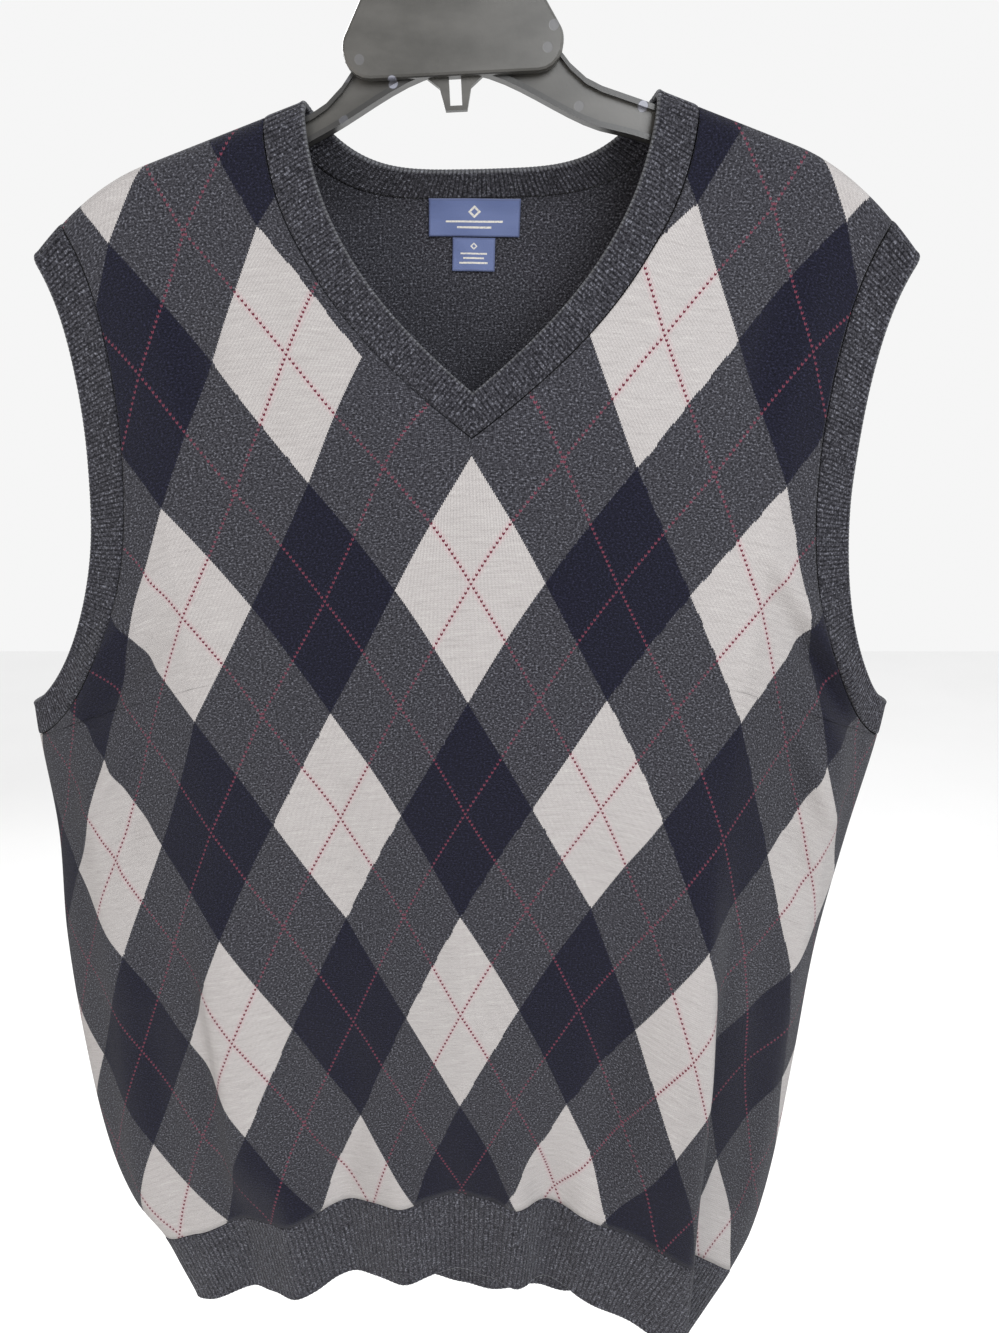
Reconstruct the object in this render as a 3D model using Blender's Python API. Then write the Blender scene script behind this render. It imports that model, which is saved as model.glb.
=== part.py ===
"""A knitted V-neck sweater vest hung on a moulded plastic shop hanger.

Metres, +Z up, the front faces -Y, and the origin is where the hook rests on its rail. All knitted
pieces are cut from one closed form. A point of the form is named by an angle round the body (0 at
the centre front, 90 degrees at the side towards +X, 180 at the centre back) and by its row: how far
that row of knitting lies below the high shoulder point, measured on the centre front line.
"""

import math
from collections import namedtuple

import bmesh
import bpy
from mathutils import Matrix, Vector

# Driving dimensions of the vest
SHOULDER_Z = -0.120  # the high shoulder point, below the hook's rest
BODY_WALL = 0.0020
RIB_WALL = 0.0026
LABEL_WALL = 0.0008
SEAM = 0.0004  # the gap that neighbouring pieces keep
NECK_EDGE = 0.084  # half the neck opening, at the shoulder
NECK_SEAM = 0.1045
V_EDGE = 0.135  # row of the point of the V
V_SEAM = 0.157
BACK_NECK_EDGE = 0.026
BACK_NECK_SEAM = 0.0378
BACK_NECK_POWER = 4
FRONT_PLANE = -0.040  # where the centre front hangs
SHOULDER_SLOPE = 0.345
SHOULDER_FALL = 6.2  # how fast the shoulder line falls past the hanger's arm
RIDGE_RADIUS = 0.009  # cloth rounding the hanger's arm
FRONT_RISE = 0.160  # how far below the ridge the front reaches its plane
BACK_RISE = 0.050
FRONT_POWER = 1.75  # how full the section is
BACK_POWER = 6
WAIST_ROW = 0.145  # row of the armhole's narrowest place
ARM_BAND = 0.0200
ARM_BAND_TOP = 0.0160  # the band's width across the shoulder
ARMPIT_EDGE = 0.248
ARMPIT_SEAM = 0.269
RIB_ROW = 0.628
HEM_ROW = 0.690
RIDGE_ROW = 4e-6  # the panels' first row, which leaves the shoulder seam's gap
LABEL = (0.048, 0.0185)
SIZE_LABEL = (0.0225, 0.0170)
LABEL_X = -0.003

# Driving dimensions of the hanger
HANGER_TILT = math.radians(2.5)
STEM_X = -0.0053  # the stem and plate stand this far aside of the hook
PLATE_X = -0.0009  # their middle once the hanger is tilted
ARM_END = 0.178
ARM_GAP = 0.0070  # from the cloth's outside to the arm
RIM_HALF = 0.0046  # half the rims' depth, front to back
RIM = 0.0026
WEB_HALF = 0.0015
PLATE_DEPTH = 0.0042
HOOK_RADIUS = 0.023  # to the middle of the hook's bar
HOOK_BAR = 0.004

Section = namedtuple("Section", "row centre left right side drop_left drop_right level back")
# A row for each section of the body. centre: the middle's X; left, right: half widths at -X and
# +X; side: Y of the side line; drop_left, drop_right: how much lower than its middle a row hangs at
# the sides; level: how level the back's rows hang; back: how far the back stands behind the side.
SECTIONS = (
    Section(0.000, 0.0120, 0.253, 0.246, 0.010, 0.050, 0.046, 0.00, 0.025),
    Section(0.080, 0.0095, 0.253, 0.246, 0.010, 0.055, 0.050, 0.00, 0.027),
    Section(0.165, 0.0070, 0.254, 0.244, 0.010, 0.060, 0.058, 0.10, 0.029),
    Section(0.260, 0.0048, 0.255, 0.240, 0.011, 0.062, 0.062, 0.40, 0.030),
    Section(0.330, 0.0028, 0.250, 0.229, 0.011, 0.063, 0.066, 0.60, 0.030),
    Section(0.400, -0.0010, 0.250, 0.221, 0.010, 0.064, 0.072, 0.70, 0.029),
    Section(0.480, -0.0028, 0.246, 0.216, 0.008, 0.064, 0.078, 0.75, 0.027),
    Section(0.555, -0.0035, 0.237, 0.208, 0.003, 0.063, 0.084, 0.78, 0.024),
    Section(0.600, -0.0037, 0.222, 0.197, -0.004, 0.062, 0.088, 0.80, 0.020),
    Section(0.628, -0.0038, 0.203, 0.184, -0.009, 0.060, 0.090, 0.80, 0.017),
    Section(0.660, -0.0040, 0.193, 0.170, -0.009, 0.056, 0.090, 0.80, 0.015),
    Section(0.690, -0.0040, 0.185, 0.157, -0.008, 0.052, 0.090, 0.80, 0.014),
)

Fold = namedtuple("Fold", "top_row low_row top_x low_x height inner outer")
# A row for each soft fold: the rows it runs between, its X from the centre line at each, how far it
# stands out once it is full, and how wide it is on its inner and its outer flank.
FRONT_FOLDS = (
    Fold(0.310, 0.720, 0.166, 0.143, 0.021, 0.050, 0.022),
    Fold(0.205, 0.340, 0.212, 0.210, 0.006, 0.030, 0.016),
    Fold(0.230, 0.430, -0.222, -0.210, 0.006, 0.034, 0.018),
    Fold(0.470, 0.720, -0.118, -0.112, -0.007, 0.030, 0.030),
)
BACK_FOLDS = (
    Fold(0.120, 0.720, -0.095, -0.075, 0.007, 0.045, 0.040),
    Fold(0.200, 0.720, 0.075, 0.095, 0.008, 0.040, 0.050),
)

Shoulder = namedtuple("Shoulder", "lower reach tip front_waist back_waist")
# The shoulder at each side. lower: how much lower it starts; reach: where its fall begins; tip: half
# width to the band's edge at the shoulder; the waists: half widths the armhole leaves further down.
SHOULDERS = {
    -1: Shoulder(0.0014, 0.165, 0.2234, 0.1995, 0.2110),
    1: Shoulder(-0.0034, 0.152, 0.2187, 0.1970, 0.2030),
}

# Where the lines of points run down each half of a panel, as shares of the way out from its centre
# or neck edge. The front's are closest along its folds, and the back's by the corner of the neck.
FRONT_COLUMNS = (0, 0.09, 0.18, 0.27, 0.35, 0.41, 0.46, 0.51, 0.56, 0.63, 0.72, 0.81, 0.91, 1)
NECK_COLUMNS = 5
SIDE_COLUMNS = 6
SHOULDER_ROWS = 11
ARMHOLE_ROWS = 8
BODY_ROWS = 13
RIB_ROWS = 3
BAND_STEPS = 2


# The form
def column(name, row):
    """The named column of SECTIONS at this row, on a smooth curve through the table."""
    last = len(SECTIONS) - 1
    index = max(i for i in range(last) if i == 0 or SECTIONS[i].row <= row)
    low, high = SECTIONS[index], SECTIONS[index + 1]
    before, after = SECTIONS[max(index - 1, 0)], SECTIONS[min(index + 2, last)]
    span = high.row - low.row
    part = min(max((row - low.row) / span, 0), 1)
    start, end = getattr(low, name), getattr(high, name)
    start_slope = (end - getattr(before, name)) / (high.row - before.row) * span
    end_slope = (getattr(after, name) - start) / (after.row - low.row) * span
    square, cube = part ** 2, part ** 3
    ends = (2 * cube - 3 * square + 1) * start + (3 * square - 2 * cube) * end
    return ends + (cube - 2 * square + part) * start_slope + (cube - square) * end_slope


def smooth(value):
    value = min(max(value, 0.0), 1.0)
    return value * value * (3 - 2 * value)


def half_width(side, row):
    return column("right" if side > 0 else "left", row)


def shoulder_line(x):
    """Drop of the shoulder ridge, this far from the centre."""
    reach, shoulder = abs(x), SHOULDERS[1 if x > 0 else -1]
    line = shoulder.lower * min(reach / NECK_EDGE, 1) + SHOULDER_SLOPE * max(reach - NECK_EDGE, 0)
    return line + SHOULDER_FALL * max(reach - shoulder.reach, 0) ** 2


def row_drop(angle, row):
    """How far below the high shoulder point: lower rows hang in a bow, top rows follow the ridge."""
    out = math.sin(angle)
    if row >= V_SEAM:
        spread = out * out
        if math.cos(angle) < 0:
            spread += (1 - spread) * column("level", row)
        leaning = smooth((out + 1) / 2)
        lower = column("drop_left", row) * (1 - leaning) + column("drop_right", row) * leaning
        return row + lower * spread
    part = row / V_SEAM
    ridge = shoulder_line(half_width(out, row) * out)
    return ridge * (1 - part) + row_drop(angle, V_SEAM) * part


def fold_height(folds, out, row):
    """The folds' standing out here. They die away at the side line."""
    x = half_width(out, row) * out
    total = 0.0
    for fold in folds:
        part = (row - fold.top_row) / (fold.low_row - fold.top_row)
        middle = fold.top_x + (fold.low_x - fold.top_x) * smooth(part)
        away = (x - middle) * math.copysign(1, middle)
        width = fold.outer if away > 0 else fold.inner
        total += fold.height * smooth(part * 1.6) * smooth(1 - abs(away) / width)
    return total * smooth((1 - out * out) / 0.15)


def place(angle, row):
    """The point of the form at this angle and row."""
    out = math.sin(angle)
    x = half_width(out, row) * out
    drop = row_drop(angle, row)
    below = max(drop - shoulder_line(x), 0.0)
    turn = min(below / RIDGE_RADIUS, 1.0)
    rounding = RIDGE_RADIUS * math.sqrt(1 - (1 - turn) ** 2)
    side = column("side", row)
    if math.cos(angle) >= 0:
        full = side + (FRONT_PLANE - side) * math.sqrt(max(1 - abs(out) ** FRONT_POWER, 0.0))
        y = -rounding + (full + RIDGE_RADIUS) * smooth(below / FRONT_RISE)
        y -= fold_height(FRONT_FOLDS, out, row)
    else:
        full = side + column("back", row) * math.sqrt(max(1 - abs(out) ** BACK_POWER, 0.0))
        y = rounding + (full - RIDGE_RADIUS) * smooth(below / BACK_RISE)
        y += fold_height(BACK_FOLDS, out, row)
    return Vector((column("centre", row) + x, y, SHOULDER_Z - drop))


def facing(angle, row):
    """The outward direction of the form there."""
    turn, step = 0.002, 0.00001
    along = place(angle + turn, row) - place(angle - turn, row)
    down = place(angle, row + step) - place(angle, max(row - step, 0))
    return down.cross(along).normalized()


# The cut: each curve gives the angle where it meets a row
def on_face(face, side, x, row):
    angle = math.asin(min(x / half_width(side, row), 1)) * side
    return angle if face == "front" else math.pi - angle


def side_line(face, side, row, gap=SEAM * 0.75):
    """The side seam, with half its gap on this face."""
    if face == "front":
        depth = (column("side", row) - FRONT_PLANE) * math.sqrt(FRONT_POWER / 2)
        return side * (math.pi / 2 - gap / depth)
    depth = column("back", row) * math.sqrt(BACK_POWER / 2)
    return math.pi - side * (math.pi / 2 - gap / depth)


def armhole_x(face, side, armpit, inset, row):
    """Half width that the armhole leaves at this row. inset: 1 along the seam, 0 at the free edge."""
    shoulder = SHOULDERS[side]
    waist = shoulder.front_waist if face == "front" else shoulder.back_waist
    waist -= ARM_BAND * inset
    if row < WAIST_ROW:
        tip = shoulder.tip - ARM_BAND_TOP * inset
        return waist + (tip - waist) * (1 - row / WAIST_ROW) ** 2
    lower = min((row - WAIST_ROW) / (armpit - WAIST_ROW), 1)
    return waist + (half_width(side, row) - waist) * (1 - math.sqrt(1 - lower * lower))


def armhole_seam(face, side, row):
    if row >= ARMPIT_SEAM - 1e-9:
        return side_line(face, side, row)
    return on_face(face, side, armhole_x(face, side, ARMPIT_SEAM, 1, row), row)


def v_neck_x(half, point, row):
    return half * (1 - (row / point) ** 2)


def back_neck_row(half, depth, x):
    return depth * (1 - min(abs(x) / half, 1) ** BACK_NECK_POWER)


# Rows that all pieces share, so that their seams meet point to point
def shoulder_rows():
    return [max(V_SEAM * (i / SHOULDER_ROWS) ** 1.7, RIDGE_ROW) for i in range(SHOULDER_ROWS + 1)]


def armhole_rows():
    span = ARMPIT_SEAM - V_SEAM
    return [ARMPIT_SEAM - span * (1 - i / ARMHOLE_ROWS) ** 2.1 for i in range(1, ARMHOLE_ROWS + 1)]


def body_rows():
    end = RIB_ROW - SEAM / 2
    return [ARMPIT_SEAM + (end - ARMPIT_SEAM) * i / BODY_ROWS for i in range(1, BODY_ROWS + 1)]


# Making solids
def painted(name, color, roughness):
    material = bpy.data.materials.new(name)
    material.use_nodes = True
    shader = material.node_tree.nodes["Principled BSDF"]
    shader.inputs["Base Color"].default_value = (*color, 1)
    shader.inputs["Roughness"].default_value = roughness
    return material


def finished(name, maker, material):
    bmesh.ops.recalc_face_normals(maker, faces=maker.faces)
    mesh = bpy.data.meshes.new(name)
    maker.to_mesh(mesh)
    maker.free()
    mesh.materials.append(material)
    mesh.shade_smooth()
    mesh.set_sharp_from_angle(angle=math.radians(40))
    obj = bpy.data.objects.new(name, mesh)
    bpy.context.scene.collection.objects.link(obj)
    return obj


def wall(name, places, quads, thickness, material, lift=0.0):
    """A wall of cloth under the form. places maps a key to its angle and row, quads hold keys."""
    maker = bmesh.new()
    outer, inner = {}, {}
    for key, (angle, row) in places.items():
        point, normal = place(angle, row), facing(angle, row)
        outer[key] = maker.verts.new(point + normal * lift)
        inner[key] = maker.verts.new(point + normal * (lift - thickness))
    edges = set()
    for quad in quads:
        maker.faces.new([outer[key] for key in quad])
        maker.faces.new([inner[key] for key in reversed(quad)])
        edges.update(zip(quad, quad[1:] + quad[:1]))
    for a, b in edges:
        if (b, a) not in edges:
            maker.faces.new((outer[b], outer[a], inner[a], inner[b]))
    return finished(name, maker, material)


def grid_quads(rows, columns, key, flip):
    quads = []
    for j in range(rows - 1):
        for i in range(columns - 1):
            quad = (key(j, i), key(j + 1, i), key(j + 1, i + 1), key(j, i + 1))
            quads.append(quad[::-1] if flip else quad)
    return quads


def front_panel(material):
    rows = shoulder_rows() + armhole_rows() + body_rows()
    places, quads = {}, []
    for side in (-1, 1):
        def key(j, i, side=side):
            return (0 if i == 0 and rows[j] >= V_SEAM else side, j, i)

        for j, row in enumerate(rows):
            start = 0.0
            if row < V_SEAM:
                start = on_face("front", side, v_neck_x(NECK_SEAM, V_SEAM, row), row)
            end = armhole_seam("front", side, row)
            for i, share in enumerate(FRONT_COLUMNS):
                places[key(j, i)] = (start + (end - start) * share, row)
        quads += grid_quads(len(rows), len(FRONT_COLUMNS), key, side < 0)
    return wall("front", places, quads, BODY_WALL, material)


def back_shares(side):
    """Shares of the way out to the armhole: close by the corner of the neck, which has its own line."""
    corner = on_face("front", side, NECK_SEAM, 0) / armhole_seam("front", side, 0)
    inside = [corner * (1 - (1 - i / NECK_COLUMNS) ** 2) for i in range(NECK_COLUMNS)]
    return inside + [corner + (1 - corner) * i / SIDE_COLUMNS for i in range(SIDE_COLUMNS + 1)]


def back_place(side, share, row):
    """The back's point on this line, with its rows bent down round the neck near the top."""
    bent = row
    for _ in range(6):
        angle = math.pi + (armhole_seam("back", side, bent) - math.pi) * share
        x = half_width(side, bent) * math.sin(angle)
        neck = back_neck_row(NECK_SEAM, BACK_NECK_SEAM, x)
        bent = row + neck * max(1 - row / V_SEAM, 0)
    return angle, bent


def back_panel(material):
    rows = shoulder_rows() + armhole_rows() + body_rows()
    places, quads = {}, []
    for side in (-1, 1):
        def key(j, i, side=side):
            return (0 if i == 0 else side, j, i)

        shares = back_shares(side)
        for j, row in enumerate(rows):
            for i, share in enumerate(shares):
                places[key(j, i)] = back_place(side, share, row)
        quads += grid_quads(len(rows), len(shares), key, side > 0)
    return wall("back", places, quads, BODY_WALL, material)


def ring(name, stations, material):
    """A closed ribbed band. stations hold its point on the seam and its point on the free edge."""
    places, quads = {}, []
    clear = 1.4 * SEAM / ARM_BAND
    for j, (seam, edge) in enumerate(stations):
        for i in range(BAND_STEPS + 1):
            share = clear + (1 - clear) * i / BAND_STEPS
            places[j, i] = tuple(a + (b - a) * share for a, b in zip(seam, edge))
        after = (j + 1) % len(stations)
        for i in range(BAND_STEPS):
            quads.append(((j, i), (after, i), (after, i + 1), (j, i + 1)))
    return wall(name, places, quads, RIB_WALL, material)


def neck_front_station(side, row):
    edge_row = row * V_EDGE / V_SEAM
    seam = on_face("front", side, v_neck_x(NECK_SEAM, V_SEAM, row), row)
    edge = on_face("front", side, v_neck_x(NECK_EDGE, V_EDGE, edge_row), edge_row)
    return (seam, row), (edge, edge_row)


def neck_back_station(side, share):
    angle, row = back_place(side, share, 0)
    edge_x = half_width(side, row) * abs(math.sin(angle)) * NECK_EDGE / NECK_SEAM
    edge_row = back_neck_row(NECK_EDGE, BACK_NECK_EDGE, edge_x)
    return (angle, row), (on_face("back", side, edge_x, edge_row), edge_row)


def neck_band(material):
    """Down the V, up its other side, and round the back of the neck."""
    down = shoulder_rows()[1:]
    stations = [neck_front_station(-1, row) for row in down]
    stations += [neck_front_station(1, row) for row in reversed(down[:-1])]
    stations.append(neck_front_station(1, 0))
    for side in (1, -1):
        line = [neck_back_station(side, share) for share in back_shares(side)[:NECK_COLUMNS]]
        stations += line[::-1] if side > 0 else line[1:]
    stations.append(neck_front_station(-1, 0))
    return ring("neck_band", stations, material)


def arm_station(face, side, row):
    if row >= ARMPIT_SEAM - 1e-9:
        middle = side * math.pi / 2 if face == "front" else math.pi - side * math.pi / 2
        return (middle, ARMPIT_SEAM), (middle, ARMPIT_EDGE)
    edge_row = row
    if row > WAIST_ROW:
        lower = (row - WAIST_ROW) / (ARMPIT_SEAM - WAIST_ROW)
        edge_row = WAIST_ROW + (ARMPIT_EDGE - WAIST_ROW) * lower
    edge_x = armhole_x(face, side, ARMPIT_EDGE, 0, edge_row)
    return (armhole_seam(face, side, row), row), (on_face(face, side, edge_x, edge_row), edge_row)


def arm_band(name, side, material):
    """Down the front of the armhole and up its back."""
    rows = (shoulder_rows() + armhole_rows())[1:]
    stations = [arm_station("front", side, 0)]
    stations += [arm_station("front", side, row) for row in rows]
    stations += [arm_station("back", side, row) for row in reversed(rows[:-1])]
    return ring(name, stations, material)


def hem_rib(name, face, shares, material):
    """The rib from the body to the hem, on the body's own lines of points."""
    places, quads = {}, []
    top = RIB_ROW + SEAM
    rows = [top + (HEM_ROW - top) * j / RIB_ROWS for j in range(RIB_ROWS + 1)]
    middle = 0.0 if face == "front" else math.pi
    for side in (-1, 1):
        def key(j, i, side=side):
            return (0 if i == 0 else side, j, i)

        for j, row in enumerate(rows):
            end = side_line(face, side, row)
            for i, share in enumerate(shares[side]):
                places[key(j, i)] = (middle + (end - middle) * share, row)
        flip = side < 0 if face == "front" else side > 0
        quads += grid_quads(len(rows), len(shares[side]), key, flip)
    return wall(name, places, quads, RIB_WALL, material)


def label(name, top, size, material):
    """A woven label on the inside of the back, its own thickness proud of the wall."""
    width, height = size
    places = {}
    steps = (6, 3)
    for j in range(steps[1] + 1):
        for i in range(steps[0] + 1):
            row = top + height * j / steps[1]
            x = LABEL_X + width * (i / steps[0] - 0.5)
            places[j, i] = (math.pi - math.asin(x / half_width(x, row)), row)
    quads = grid_quads(steps[1] + 1, steps[0] + 1, lambda j, i: (j, i), True)
    return wall(name, places, quads, LABEL_WALL, material, lift=-RIB_WALL - SEAM)


# The hanger
def arm_top(x):
    """Drop of the hanger frame's upper edge, which carries the shoulders and sweeps up to the plate."""
    centre = column("centre", 0)
    away = abs(x - PLATE_X)
    line = shoulder_line(x - centre) + ARM_GAP
    line -= SHOULDER_SLOPE * max(NECK_EDGE - abs(x - centre), 0)
    line -= 22 * max(0.070 - away, 0) ** 2
    crown = -0.036 - 0.0187 * (1 - smooth((away - 0.014) / 0.016))
    return max(line, crown)


def arm_foot(x):
    """Drop of its lower edge: an arch under the plate, then a tapering arm."""
    away = abs(x - PLATE_X)
    arch = -0.0115 + 0.0311 * smooth(away / 0.088) - math.tan(HANGER_TILT) * (x - PLATE_X)
    arm = arm_top(x) + 0.0165 - 0.05 * max(away - 0.085, 0)
    share = smooth((away - 0.065) / 0.030)
    return arch * (1 - share) + arm * share


def hanger_frame(material):
    """Both arms as one moulding: a thin web between two raised rims."""
    maker = bmesh.new()
    count = 46
    rings = []
    for i in range(count + 1):
        x = -ARM_END + 2 * ARM_END * i / count
        top, foot = SHOULDER_Z - arm_top(x), SHOULDER_Z - arm_foot(x)
        upper, lower = top - RIM, foot + RIM
        outline = [(-RIM_HALF, top), (RIM_HALF, top), (RIM_HALF, upper), (WEB_HALF, upper)]
        outline += [(WEB_HALF, lower), (RIM_HALF, lower), (RIM_HALF, foot), (-RIM_HALF, foot)]
        outline += [(-RIM_HALF, lower), (-WEB_HALF, lower), (-WEB_HALF, upper), (-RIM_HALF, upper)]
        rings.append([maker.verts.new((x, y, z)) for y, z in outline])
    for one, two in zip(rings, rings[1:]):
        for k in range(len(one)):
            after = (k + 1) % len(one)
            maker.faces.new((one[k], one[after], two[after], two[k]))
    for end in (rings[0], rings[-1]):
        top_rim = (end[0], end[1], end[2], end[3], end[10], end[11])
        low_rim = (end[4], end[5], end[6], end[7], end[8], end[9])
        maker.faces.new(top_rim)
        maker.faces.new(low_rim)
        maker.faces.new((end[3], end[4], end[9], end[10]))
    return finished("hanger_frame", maker, material)


def rounded_outline(corners, steps=5):
    """Points round a polygon in X and Z whose corners, each (x, z, radius), are arcs."""
    points = []
    for k, (x, z, radius) in enumerate(corners):
        here = Vector((x, z))
        before = Vector(corners[k - 1][:2]) - here
        after = Vector(corners[(k + 1) % len(corners)][:2]) - here
        half_turn = before.angle(after) / 2
        reach = radius / math.tan(half_turn)
        centre = here + (before.normalized() + after.normalized()).normalized() * (
            radius / math.sin(half_turn)
        )
        start = here + before.normalized() * reach - centre
        end = here + after.normalized() * reach - centre
        swing = start.angle_signed(end)
        for i in range(steps + 1):
            points.append(centre + Matrix.Rotation(-swing * i / steps, 2) @ start)
    return points


def slab(name, points, front, back, bevel, material):
    """An outline in X and Z given thickness in Y, with its front edge rounded over."""
    maker = bmesh.new()
    face = maker.faces.new([maker.verts.new((x, back, z)) for x, z in points])
    moved = bmesh.ops.extrude_face_region(maker, geom=[face])["geom"]
    shifted = [item for item in moved if isinstance(item, bmesh.types.BMVert)]
    bmesh.ops.translate(maker, verts=shifted, vec=(0, front - back, 0))
    if bevel:
        rim = [edge for edge in maker.edges if all(vert in shifted for vert in edge.verts)]
        bmesh.ops.bevel(maker, geom=rim, offset=bevel, segments=2, profile=0.5, affect="EDGES")
    return finished(name, maker, material)


def tilted(obj):
    obj.rotation_euler = (0, -HANGER_TILT, 0)
    return obj


def hanger_plate(material):
    corners = ((-0.0510, -0.1120, 0.012), (0.0510, -0.1120, 0.012), (0.0520, -0.0960, 0.010),
               (0.0330, -0.0640, 0.012), (-0.0330, -0.0640, 0.012), (-0.0520, -0.0960, 0.010))
    front = -RIM_HALF - SEAM - PLATE_DEPTH
    outline = rounded_outline([(STEM_X + x, z, radius) for x, z, radius in corners])
    return tilted(slab("hanger_plate", outline, front, -RIM_HALF - SEAM, 0.0014, material))


def hanger_tab(material):
    """The slotted tab under the plate, as four bars round its slot."""
    maker = bmesh.new()
    front, back = -0.0045, 0.0
    outer = ((-0.0133, -0.1116), (0.0, -0.1094), (0.0133, -0.1116), (0.0075, -0.1160),
             (0.0052, -0.1258), (-0.0052, -0.1258), (-0.0075, -0.1160))
    slot = ((-0.0029, -0.1118), (0.0, -0.1118), (0.0029, -0.1118), (0.0029, -0.1160),
            (0.0029, -0.1238), (-0.0029, -0.1238), (-0.0029, -0.1160))
    rings = [[maker.verts.new((STEM_X + x, y, z)) for x, z in loop]
             for loop, y in ((outer, front), (outer, back), (slot, back), (slot, front))]
    for a, b in zip(rings, rings[1:] + rings[:1]):
        for k in range(len(outer)):
            after = (k + 1) % len(outer)
            maker.faces.new((a[k], a[after], b[after], b[k]))
    return tilted(finished("hanger_tab", maker, material))


def hook_path():
    """From the stem's foot, bending aside onto the hook's circle and over to its tip."""
    foot, bend = Vector((STEM_X, 0, -0.0645)), Vector((STEM_X, 0, -0.0560))
    centre = Vector((0, 0, HOOK_BAR - HOOK_RADIUS))
    first, last = math.radians(-50), math.radians(205)
    join = centre + HOOK_RADIUS * Vector((math.cos(first), 0, math.sin(first)))
    pull = 0.030
    up, onward = Vector((0, 0, pull)), pull * Vector((-math.sin(first), 0, math.cos(first)))
    points = [foot]
    for i in range(9):
        t = i / 9
        a, b = 2 * t ** 3 - 3 * t ** 2 + 1, 3 * t ** 2 - 2 * t ** 3
        c, d = t ** 3 - 2 * t ** 2 + t, t ** 3 - t ** 2
        points.append(a * bend + b * join + c * up + d * onward)
    for i in range(27):
        turn = first + (last - first) * i / 26
        points.append(centre + HOOK_RADIUS * Vector((math.cos(turn), 0, math.sin(turn))))
    return points


def hanger_hook(material):
    curve = bpy.data.curves.new("hanger_hook", "CURVE")
    curve.dimensions = "3D"
    curve.bevel_depth = HOOK_BAR
    curve.bevel_resolution = 2
    curve.use_fill_caps = True
    points = hook_path()
    spline = curve.splines.new("POLY")
    spline.points.add(len(points) - 1)
    for target, point in zip(spline.points, points):
        target.co = (*point, 1)
    curve.materials.append(material)
    obj = bpy.data.objects.new("hanger_hook", curve)
    bpy.context.scene.collection.objects.link(obj)
    return tilted(obj)


def main():
    for obj in list(bpy.data.objects):
        bpy.data.objects.remove(obj)
    argyle = painted("argyle_knit", (0.050, 0.055, 0.063), 0.9)
    plain = painted("charcoal_knit", (0.046, 0.050, 0.056), 0.9)
    rib = painted("rib_knit", (0.038, 0.043, 0.052), 0.9)
    woven = painted("woven_label", (0.045, 0.065, 0.19), 0.6)
    plastic = painted("moulded_plastic", (0.055, 0.052, 0.050), 0.3)

    front_panel(argyle)
    back_panel(plain)
    neck_band(rib)
    arm_band("arm_band_left", -1, rib)
    arm_band("arm_band_right", 1, rib)
    hem_rib("hem_rib_front", "front", {-1: FRONT_COLUMNS, 1: FRONT_COLUMNS}, rib)
    hem_rib("hem_rib_back", "back", {-1: back_shares(-1), 1: back_shares(1)}, rib)
    label_top = BACK_NECK_SEAM + 0.0005
    label("label_main", label_top, LABEL, woven)
    label("label_size", label_top + LABEL[1] + SEAM, SIZE_LABEL, woven)
    hanger_frame(plastic)
    hanger_plate(plastic)
    hanger_tab(plastic)
    hanger_hook(plastic)


main()
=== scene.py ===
"""A knitted V-neck sweater vest with an argyle front, hung on a moulded plastic shop hanger.

Metres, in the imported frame. Every knitted piece is a thin shell on one closed form. A point of the
form is named by its angle round the body, from the centre front, and by its row of knitting.
"""

import math
from collections import namedtuple

import bpy
import numpy as np
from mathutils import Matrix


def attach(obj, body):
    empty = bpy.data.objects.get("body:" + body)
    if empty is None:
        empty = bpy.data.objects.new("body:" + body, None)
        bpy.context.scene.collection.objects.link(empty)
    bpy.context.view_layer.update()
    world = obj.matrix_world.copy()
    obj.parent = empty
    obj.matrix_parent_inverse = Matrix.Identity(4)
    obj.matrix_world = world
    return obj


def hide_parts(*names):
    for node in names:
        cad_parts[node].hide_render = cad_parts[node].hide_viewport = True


PI = math.pi

# The vest's form, as it was cut
SHOULDER_Z = -0.120
BODY_WALL = 0.0020
RIB_WALL = 0.0026
SEAM = 0.0004
NECK_EDGE = 0.084
NECK_SEAM = 0.1045
V_EDGE = 0.135
V_SEAM = 0.157
BACK_NECK_EDGE = 0.026
BACK_NECK_SEAM = 0.0378
FRONT_PLANE = -0.040
SHOULDER_SLOPE = 0.345
SHOULDER_FALL = 6.2
RIDGE_RADIUS = 0.009
FRONT_RISE = 0.160
BACK_RISE = 0.050
FRONT_POWER = 1.75
BACK_POWER = 6
WAIST_ROW = 0.145
ARM_BAND = 0.0200
ARM_BAND_TOP = 0.0160
ARMPIT_EDGE = 0.248
ARMPIT_SEAM = 0.269
NECK_BAND = 0.0215
RIB_ROW = 0.628
HEM_ROW = 0.690
RIDGE_ROW = 4e-6  # the top row, just off the ridge of the shoulder

Section = namedtuple("Section", "row centre left right side drop_left drop_right level back")
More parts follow.
